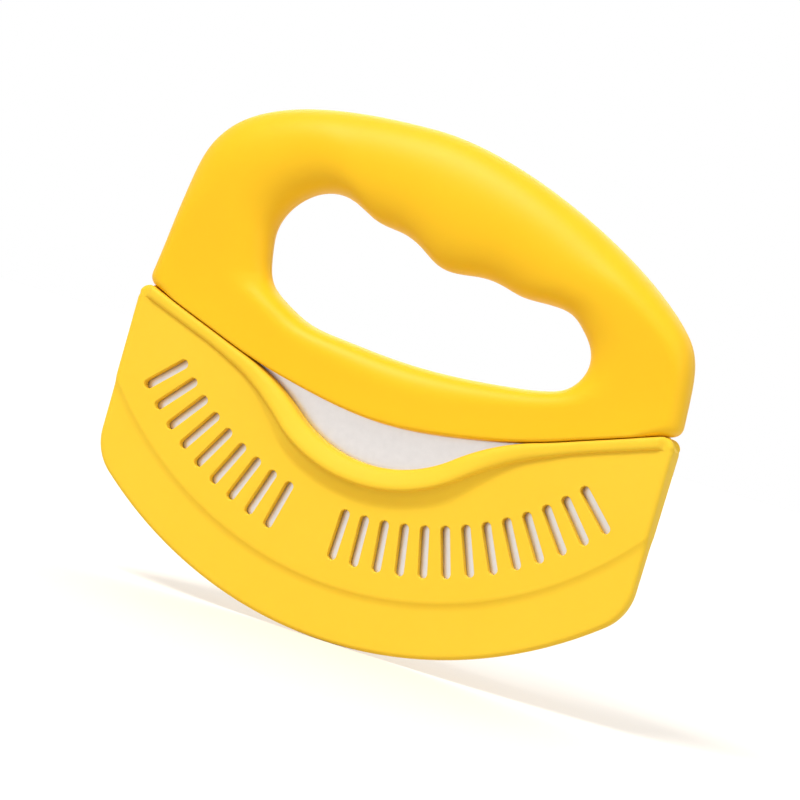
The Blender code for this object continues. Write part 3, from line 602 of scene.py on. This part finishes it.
# %% [markdown]
# ## The sheath's outline
#
# The sheath's lip runs a hair below the handle's foot and dips near the middle, most likely for a thumb to
# push the blade out. Its sides are straight, and its rim is an arc that turns up into the sides with a
# 17 mm corner. The left half of the lip is drawn as if it were on the right, with the dip on the other side
# of the middle.

# %% Draw the lip and the rim
LIP_GAP = 0.12 * MM
DIP_RADIUS = 45.0 * MM
DIP_BLEND = 78.0 * MM
DIP_FLOOR = FOOT_LOW - 14.9 * MM
LIP_CORNER = 3.6 * MM
SHEATH_CORNER = 17.0 * MM


def arc_about(centre, radius, start, end, count):
    turn = [start + (end - start) * i / count for i in range(count + 1)]
    return [(centre[0] + radius * math.cos(a), centre[1] + radius * math.sin(a)) for a in turn]


def lip_half(side, rounded=True):
    """The lip's line from the dip out to one side, 1 for right and -1 for left."""
    dip = Vector((side * DIP_X, DIP_FLOOR + DIP_RADIUS))
    reach = DIP_RADIUS + DIP_BLEND
    far = FOOT_RADIUS + LIP_GAP + DIP_BLEND
    apart = FOOT_CENTRE - dip
    up = apart.normalized()
    along = (reach ** 2 - far ** 2 + apart.length_squared) / (2 * apart.length)
    blend = dip + up * along + Vector((up.y, -up.x)) * math.sqrt(reach ** 2 - along ** 2)
    dip_angle = math.atan2(blend.x - dip.x, dip.y - blend.y)
    lip_angle = math.atan2(blend.x, FOOT_CENTRE.y - blend.y)
    line = arc_about(dip, DIP_RADIUS, -math.pi / 2, dip_angle - math.pi / 2, 60)
    line += arc_about(blend, DIP_BLEND, math.pi / 2 + dip_angle, math.pi / 2 + lip_angle, 40)[1:]
    start = line[-1][0]
    run = [(x, foot_z(x, LIP_GAP)) for x in np.linspace(start, HALF_WIDTH, 61)]
    if not rounded:
        return line + run[1:]
    corner = fillet(run[-2], run[-1], (HALF_WIDTH, 0.0), LIP_CORNER, 40)
    return line + [p for p in run[1:] if p[0] < corner[0][0] - 0.1 * MM] + corner


def rim_half():
    """The rim from the middle of its arc to the top of the right-hand corner."""
    inner_radius = RIM_RADIUS - SHEATH_CORNER
    corner_x = HALF_WIDTH - SHEATH_CORNER
    corner_z = RIM_CENTRE.y - math.sqrt(inner_radius ** 2 - corner_x ** 2)
    angle = math.asin(corner_x / inner_radius)
    line = arc_about(RIM_CENTRE, RIM_RADIUS, -math.pi / 2, angle - math.pi / 2, 90)
    return line + arc_about((corner_x, corner_z), SHEATH_CORNER, angle - math.pi / 2, 0.0, 120)[1:]


def both_halves(left, right):
    """A line from left to right."""
    return np.array([(-x, z) for x, z in left[:0:-1]] + right)


lip_line = both_halves(lip_half(-1), lip_half(1))
square_lip = both_halves(lip_half(-1, rounded=False), lip_half(1, rounded=False))
rim_line = both_halves(rim_half(), rim_half())
print("the dip's floor is %.1f mm up, the side runs from %.1f to %.1f mm" % (
    DIP_FLOOR / MM, rim_line[-1][1] / MM, lip_line[-1][1] / MM))

# %% [markdown]
# ## The relief of a face
#
# The sheath tapers from 10.9 mm thick at the lip to 5 mm at the rim. A nearly half-round bead stiffens the
# lip and grows from 4 mm to 7.2 mm wide in the dip, where a chamfer carries it down to the face. Near the
# rim the face steps down by 0.8 mm on an arc, and along the sides and the rim the edge is rolled over.
# Bevels and booleans could make each of these, but they meet and fade into each other, so they are written
# as one height over the face.

# %% Say how thick the sheath is at a place
EDGE_ROLL = 1.6 * MM
STEP_RADIUS = 122.7 * MM
STEP_RAMP = 2.8 * MM
STEP_DROP = 0.8 * MM
BEAD_ROUNDNESS = 0.75
BEAD_FULLNESS = 2.5
FLARE_PROUD = 2.6 * MM
CHAMFER_WIDE = 4.1 * MM
CHAMFER_FALL = 0.8
CHAMFER_BOW = 1.3
FLARE_WIDE = 6.0 * MM
FLARE_START, FLARE_SPAN = 52.0 * MM, 28.0 * MM
RIM_THICK, LIP_THICK = 5.0 * MM, 10.9 * MM
BEAD_WIDE_ENDS, BEAD_WIDE_DIP = 4.0 * MM, 7.2 * MM
BEAD_SWELL_START, BEAD_SWELL_SPAN = 68.0 * MM, 38.0 * MM
BEAD_STOP, BEAD_FADE = 2.6 * MM, 2.4 * MM


def taper_half(z):
    return (RIM_THICK + (LIP_THICK - RIM_THICK) * z / foot_z(HALF_WIDTH)) / 2


def bead_width(x):
    """4 mm on the straight lip, 7.2 mm in the dip."""
    swell = smoothstep((BEAD_SWELL_START - abs(x)) / BEAD_SWELL_SPAN)
    return BEAD_WIDE_ENDS + (BEAD_WIDE_DIP - BEAD_WIDE_ENDS) * swell


def dip_share(x):
    """From 0 outside the dip to 1 in its middle."""
    return smoothstep((FLARE_START - abs(x - DIP_X)) / FLARE_SPAN)


def flare_spread(x):
    """The chamfer's width at x as a share of its width in the dip."""
    return 0.25 + 0.75 * dip_share(x)


def flare(x, below=0.0):
    """How far the dip's lip stands out of the face below the bead: a chamfer, then a rounded step down."""
    share = dip_share(x)
    below /= flare_spread(x)
    if below < CHAMFER_WIDE:
        return FLARE_PROUD * share * (1 - CHAMFER_FALL * (below / CHAMFER_WIDE) ** CHAMFER_BOW)
    left = max(FLARE_WIDE - below, 0.0) / (FLARE_WIDE - CHAMFER_WIDE)
    return FLARE_PROUD * share * (1 - CHAMFER_FALL) * left ** 2


def rolled(distance, radius):
    """How far a rolled edge falls away at a distance from the outline."""
    left = max(0.0, radius - distance)
    return radius - math.sqrt(radius ** 2 - left ** 2)


def face_half(place, down, from_lip, from_edge):
    """Half thickness at a place, given how far down the column it is and its distances from the outline."""
    x, z = place
    width = bead_width(x)
    fade = smoothstep((HALF_WIDTH - BEAD_STOP - abs(x)) / BEAD_FADE)
    height = taper_half(z)
    share = down / width
    if share < 1:
        bow = max(1 - abs(2 * share - 1) ** BEAD_FULLNESS, 0.0) ** (1 / BEAD_FULLNESS)
        height += BEAD_ROUNDNESS * width / 2 * fade * bow + flare(x) * share ** 1.5
    else:
        height += flare(x, down - width)
    radius = math.hypot(x - RIM_CENTRE.x, z - RIM_CENTRE.y)
    left = 1 - min(max((radius - STEP_RADIUS) / STEP_RAMP, 0.0), 1.0)
    height -= STEP_DROP * (1 - left ** 2)
    return height - rolled(from_edge, EDGE_ROLL) - rolled(from_lip, EDGE_ROLL) * (1 - fade)


print("half thickness: %.2f mm in the dip, %.2f mm at the rim" % (
    taper_half(DIP_FLOOR) / MM, taper_half(0) / MM))

# %% [markdown]
# ## Rows that follow the features
#
# A grid shades cleanly only where its rows run along the creases. So each column goes down through the bead
# and the chamfer, square to the lip in the middle and plumb at the ends, then straight to the rim, with a
# few close rows where the step and the rolled edge are.

# %% Place the face's grid
COLUMNS = 250
ROLL_STEPS = 10
SIDE_BAND = 2.0 * MM
SQUARE_END, SQUARE_SPAN = 55.0 * MM, 30.0 * MM
SLOPE_REACH = 0.3 * MM


def column_places():
    """Places across the width, close together where the sides are rolled."""
    roll = EDGE_ROLL * (1 - np.cos(np.linspace(0, math.pi / 2, ROLL_STEPS)))
    plain = np.linspace(-HALF_WIDTH + SIDE_BAND, HALF_WIDTH - SIDE_BAND, COLUMNS)
    return np.concatenate((-HALF_WIDTH + roll, plain, HALF_WIDTH - roll[::-1]))


def crossing(start, end, radius):
    """The share of a straight run at which it crosses an arc about the rim's centre."""
    d = end - start
    s = start - RIM_CENTRE
    a, b, c = d.dot(d), 2 * s.dot(d), s.dot(s) - radius ** 2
    return (-b + math.sqrt(b * b - 4 * a * c)) / (2 * a)


def column(x):
    """Places down one column, each with how far it is below the lip."""
    top = Vector((x, np.interp(x, lip_line[:, 0], lip_line[:, 1])))
    low = Vector((x, np.interp(x, rim_line[:, 0], rim_line[:, 1])))
    rise = np.interp([x - SLOPE_REACH, x + SLOPE_REACH], square_lip[:, 0], square_lip[:, 1])
    square = Vector((rise[1] - rise[0], -2 * SLOPE_REACH)).normalized()
    straight = smoothstep((abs(x) - SQUARE_END) / SQUARE_SPAN)
    aim = square.lerp(Vector((0.0, -1.0)), straight).normalized()
    stretch = 1 / aim.dot(square)
    width = bead_width(x)
    depths = list(width * (1 - np.cos(np.linspace(0, math.pi, 27))) / 2)
    chamfer = np.linspace(0, CHAMFER_WIDE, 6)[1:]
    step_down = np.linspace(CHAMFER_WIDE, FLARE_WIDE, 9)[1:]
    below = np.concatenate((chamfer, step_down))
    depths += list(width + flare_spread(x) * below) + [width + FLARE_WIDE + 1 * MM]
    points = [(top + aim * depth * stretch, depth) for depth in depths]
    start = points[-1][0]
    first = crossing(start, low, STEP_RADIUS)
    last = crossing(start, low, STEP_RADIUS + STEP_RAMP)
    roll_start = 1 - EDGE_ROLL / (low - start).length
    roll = 1 - (1 - roll_start) * (1 - np.sin(np.linspace(0, math.pi / 2, ROLL_STEPS)[1:]))
    shares = list(np.linspace(0, first, 34)[1:]) + list(np.linspace(first, last, 9)[1:])
    shares += list(np.linspace(last, roll_start, 16)[1:]) + list(roll)
    points += [(start.lerp(low, share), 1.0) for share in shares]
    return points


def distance(points, line):
    """Distance of many points from a polyline."""
    best = np.full(len(points), 1.0)
    for a, b in zip(line, line[1:]):
        d = b - a
        t = np.clip(((points - a) @ d) / (d @ d), 0, 1)
        best = np.minimum(best, np.linalg.norm(points - a - t[:, None] * d, axis=1))
    return best


def face_rows():
    """The front face as rows of (x, y, z), from the lip down to the rim."""
    columns = [column(x) for x in column_places()]
    flat = np.array([tuple(place) for points in columns for place, down in points])
    from_lip = distance(flat, lip_line)
    from_edge = distance(flat, np.vstack((lip_line[:1], rim_line, lip_line[-1:])))
    deep = len(columns[0])
    face = []
    for i in range(deep):
        row = []
        for j, points in enumerate(columns):
            k = j * deep + i
            half = face_half(flat[k], points[i][1], from_lip[k], from_edge[k])
            row.append((flat[k][0], -half, flat[k][1]))
        face.append(row)
    return face


face = face_rows()
print("the face has", len(face), "rows of", len(face[0]), "points")

# %% [markdown]
# ## Closing the sheath
#
# The same sheet goes on over the lip and down into the pocket, a slot 2 mm wide for the 1.2 mm blade. Each
# row and each end stops on the middle plane, so a mirror operator makes the back and welds the two into one
# closed body.

# %% Join the face and the pocket, and mirror them
POCKET_WIDTH = 2.0 * MM
POCKET_RADIUS = 122.0 * MM
POCKET_HALF = 91.5 * MM
MOUTH_ROUND = 0.3 * MM


def pocket_rows():
    """The pocket's front wall as rows, from its rounded mouth down."""
    places = column_places() * POCKET_HALF / HALF_WIDTH
    top = np.interp(places, square_lip[:, 0], square_lip[:, 1])
    low = RIM_CENTRE.y - np.sqrt(POCKET_RADIUS ** 2 - places ** 2)
    inside = []
    for turn in np.linspace(0, math.pi / 2, 5):
        out = MOUTH_ROUND * (1 - math.sin(turn))
        down = MOUTH_ROUND * (1 - math.cos(turn))
        inside.append([(x, -POCKET_WIDTH / 2 - out, z - down) for x, z in zip(places, top)])
    inside.append([(x, -POCKET_WIDTH / 2, z) for x, z in zip(places, low)])
    return inside


def to_middle(row):
    """A row with its two ends brought to the middle plane."""
    return [(row[0][0], 0.0, row[0][2]), *row, (row[-1][0], 0.0, row[-1][2])]


def on_middle(row):
    return [(x, 0.0, z) for x, y, z in row]


inside = pocket_rows()
half_body = [on_middle(face[-1])] + face[::-1] + inside + [on_middle(inside[-1])]
sheet = laid_grid([to_middle(row) for row in half_body])
everything = sheet.verts[:] + sheet.edges[:] + sheet.faces[:]
bmesh.ops.mirror(sheet, geom=everything, axis="Y", merge_dist=WELD)
bmesh.ops.remove_doubles(sheet, verts=sheet.verts, dist=WELD)
bmesh.ops.recalc_face_normals(sheet, faces=sheet.faces)
print("open edges:", len([e for e in sheet.edges if e.is_boundary]))
sheath = finished("blade_sheath", sheet, sheath_plastic, sharp=40)

# %% [markdown]
# ## Drain slots
#
# Two groups of round-ended slots let water out and show the blade behind the wall. A Boolean with one cutter
# for all of them keeps their edges exact. The cutter's mouth flares by a quarter circle, so the cut leaves
# a softly rounded edge, as a moulded part has, and no bevel is needed afterwards.

# %% Cut the slots through the front wall
SLOT_RADIUS = 106.4 * MM
SLOT_LENGTH = 17.0 * MM
SLOT_WIDTH = 3.2 * MM
SLOT_PITCH = 4.0
SLOT_GROUPS = ((-46.8, 9), (-2.4, 13))
SLOT_EDGE = 0.3 * MM
CUTTER_PROUD = 1.0 * MM


def slot_loop(widen):
    """The slot's outline in its own plane: x across, y along."""
    radius = SLOT_WIDTH / 2 + widen
    straight = (SLOT_LENGTH - SLOT_WIDTH) / 2
    upper = arc_about((0.0, straight), radius, 0.0, math.pi, 14)
    lower = arc_about((0.0, -straight), radius, math.pi, 2 * math.pi, 14)
    return upper + lower


def slot_cutter():
    """All the slots' cutting bodies in one mesh, each from outside the face to the middle plane."""
    cutter = bmesh.new()
    lean = math.atan((LIP_THICK - RIM_THICK) / 2 / foot_z(HALF_WIDTH))
    rings = [(SLOT_EDGE, CUTTER_PROUD), (SLOT_EDGE, 0.0)]
    for turn in np.linspace(0, math.pi / 2, 5)[1:]:
        rings.append((SLOT_EDGE * (1 - math.sin(turn)), -SLOT_EDGE * (1 - math.cos(turn))))
    for first, count in SLOT_GROUPS:
        for i in range(count):
            angle = math.radians(first + i * SLOT_PITCH)
            x = SLOT_RADIUS * math.sin(angle)
            z = RIM_CENTRE.y - SLOT_RADIUS * math.cos(angle)
            rows = []
            for widen, out in rings + [(0.0, -taper_half(z))]:
                loop = slot_loop(widen)
                rows.append([(px, -out, pz) for px, pz in loop + loop[:1]])
            body = laid_grid(rows, closed=True)
            bmesh.ops.holes_fill(body, edges=[e for e in body.edges if e.is_boundary], sides=0)
            bmesh.ops.recalc_face_normals(body, faces=body.faces)
            spot = Matrix.Translation((x, -taper_half(z), z))
            turned = spot @ Matrix.Rotation(lean, 4, "X") @ Matrix.Rotation(-angle, 4, "Y")
            bmesh.ops.transform(body, matrix=turned, verts=body.verts)
            scratch = bpy.data.meshes.new("slot")
            body.to_mesh(scratch)
            body.free()
            cutter.from_mesh(scratch)
            bpy.data.meshes.remove(scratch)
    return cutter


cutter = finished("slot_cutter", slot_cutter(), sheath_plastic)
cut = sheath.modifiers.new("drain_slots", "BOOLEAN")
cut.operation = "DIFFERENCE"
cut.solver = "EXACT"
cut.object = cutter
with bpy.context.temp_override(object=sheath, active_object=sheath):
    bpy.ops.object.modifier_apply(modifier=cut.name)
bpy.data.objects.remove(cutter, do_unlink=True)
sheath.data.set_sharp_from_angle(angle=math.radians(40))
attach(sheath, "sheath")
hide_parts("sheath")
print("the sheath now has", len(sheath.data.polygons), "faces")

# %% [markdown]
# ## Floor and light
#
# A pale floor and a white surround stand in for the studio sweep. The camera and reflections see them
# brighter than the light they give, so they show white or nearly so and the object isn't washed out.
# Three wide, soft suns do the shaping: a key from the upper left, a weak fill from the right and a
# slightly stronger one from behind. Area lamps would do, but a sun's light doesn't fall off with distance,
# so the floor stays even out to its edge.

# %% Make the stage
FLOOR_LIFT = 0.34
SURROUND_LIGHT = 0.44


def white_to_camera(tree):
    """1 for what is seen directly, mirrored or through something clear, 0 for the light itself."""
    path = add_node(tree, "ShaderNodeLightPath")
    seen = path.outputs["Is Camera Ray"]
    for other in ("Is Glossy Ray", "Is Transmission Ray"):
        either = add_node(tree, "ShaderNodeMath", {"operation": "MAXIMUM"})
        tree.links.new(seen, either.inputs[0])
        tree.links.new(path.outputs[other], either.inputs[1])
        seen = either.outputs["Value"]
    return seen


floor_sheet = bmesh.new()
bmesh.ops.create_circle(floor_sheet, cap_ends=True, segments=64, radius=6.0)
floor_paint, tree, shader, _ = new_material("pale_floor_paint")
shader.inputs["Base Color"].default_value = linear("#CFC8BE")
shader.inputs["Roughness"].default_value = 0.8
shader.inputs["Emission Color"].default_value = (1.0, 1.0, 1.0, 1.0)
lift = add_node(tree, "ShaderNodeMath", {"operation": "MULTIPLY"})
tree.links.new(white_to_camera(tree), lift.inputs[0])
lift.inputs[1].default_value = FLOOR_LIFT
tree.links.new(lift.outputs["Value"], shader.inputs["Emission Strength"])
floor = finished("floor", floor_sheet, floor_paint)

world = bpy.data.worlds.new("white_surround")
bpy.context.scene.world = world
world.use_nodes = True
tree = world.node_tree
tree.nodes.clear()
surround = {"To Min": SURROUND_LIGHT, "To Max": 1.0}
level = add_node(tree, "ShaderNodeMapRange", surround, Value=white_to_camera(tree))
back = add_node(tree, "ShaderNodeBackground", Strength=level.outputs["Result"])
back.inputs["Color"].default_value = (1.0, 1.0, 1.0, 1.0)
add_node(tree, "ShaderNodeOutputWorld", Surface=back.outputs["Background"])


def soft_sun(name, place, strength, width):
    """A sun that shines from a place towards the object, with the width of its disc in degrees."""
    lamp = bpy.data.lights.new(name, "SUN")
    lamp.energy = strength
    lamp.angle = math.radians(width)
    item = bpy.data.objects.new(name, lamp)
    item.location = place
    item.rotation_euler = (-Vector(place)).to_track_quat("-Z", "Y").to_euler()
    bpy.context.scene.collection.objects.link(item)


soft_sun("key", (-0.35, -1.0, 1.25), 2.4, 22)
soft_sun("right_fill", (1.0, -0.45, 0.6), 0.65, 50)
soft_sun("back_fill", (-0.3, 1.0, 0.8), 0.9, 50)
print("stage set")

# %% [markdown]
# ## Camera
#
# The photograph looks at the cutter from 19 degrees to its right and 1 degree above, with the picture
# turned so that the cutter leans 16 degrees to the right. The lens is a long one, which keeps the far side
# nearly as big as the near.

# %% Set the camera
turn, rise, roll = math.radians(19.05), math.radians(0.85), math.radians(16.45)
DISTANCE = 1.218
AIM = Vector((1.6 * MM, 0.0, 81.8 * MM))
LENS = 169.57
back = Vector((math.sin(turn) * math.cos(rise), -math.cos(turn) * math.cos(rise), math.sin(rise)))
level_right = Vector((math.cos(turn), math.sin(turn), 0.0))
level_up = level_right.cross(-back)
right = math.cos(roll) * level_right + math.sin(roll) * level_up
up = math.cos(roll) * level_up - math.sin(roll) * level_right
camera = bpy.data.objects.new("camera", bpy.data.cameras.new("camera"))
camera.data.sensor_width = 36.0
camera.data.lens = LENS
camera.matrix_world = (
    Matrix.Translation(AIM + back * DISTANCE)
    @ Matrix((right, up, back)).transposed().to_4x4()
)
bpy.context.scene.collection.objects.link(camera)
bpy.context.scene.camera = camera
bpy.context.scene.view_settings.view_transform = "Standard"
print("camera at", [round(c, 3) for c in camera.matrix_world.translation])
